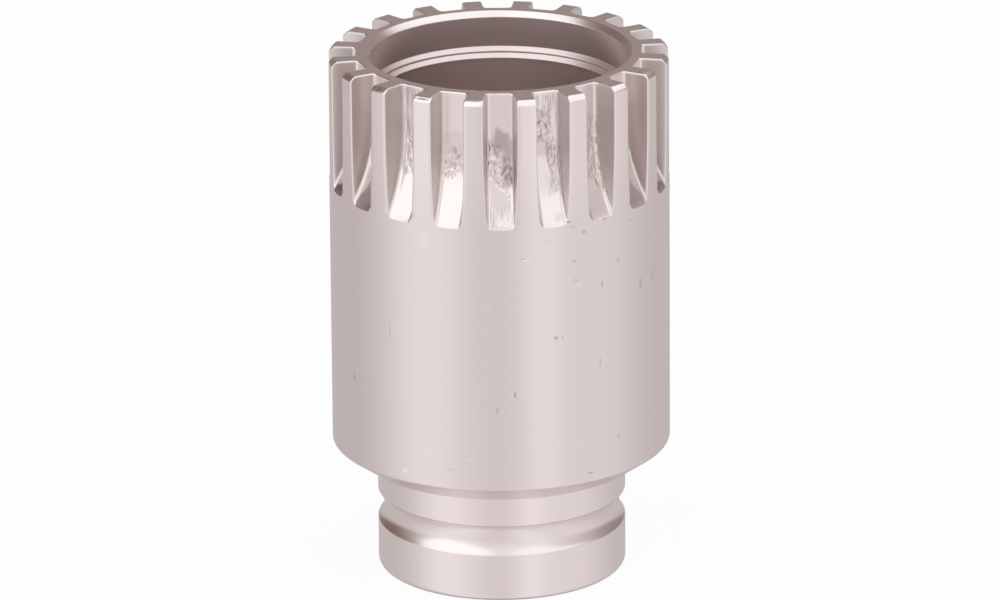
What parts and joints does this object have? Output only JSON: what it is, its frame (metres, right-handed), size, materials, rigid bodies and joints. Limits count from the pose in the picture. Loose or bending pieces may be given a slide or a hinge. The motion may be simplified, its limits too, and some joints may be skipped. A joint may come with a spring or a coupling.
{
  "type": "bottom bracket tool",
  "caption": "Splined socket that turns a threaded bottom bracket cup: splined ring, spindle bore, plain body, and a square drive in the narrower shank.",
  "frame": {"origin": "centre of the drive face, which the tool stands on", "axes": "+Z along the tool's axis towards the splined end; a spline slot lies on -Y"},
  "size_m": [0.032, 0.032, 0.0508],
  "materials": {
    "satin_steel": "satin nickel plate over turned and milled steel, with light tool marks"
  },
  "bodies": {
    "root": {"tool_body": "satin_steel"}
  },
  "joints": []
}
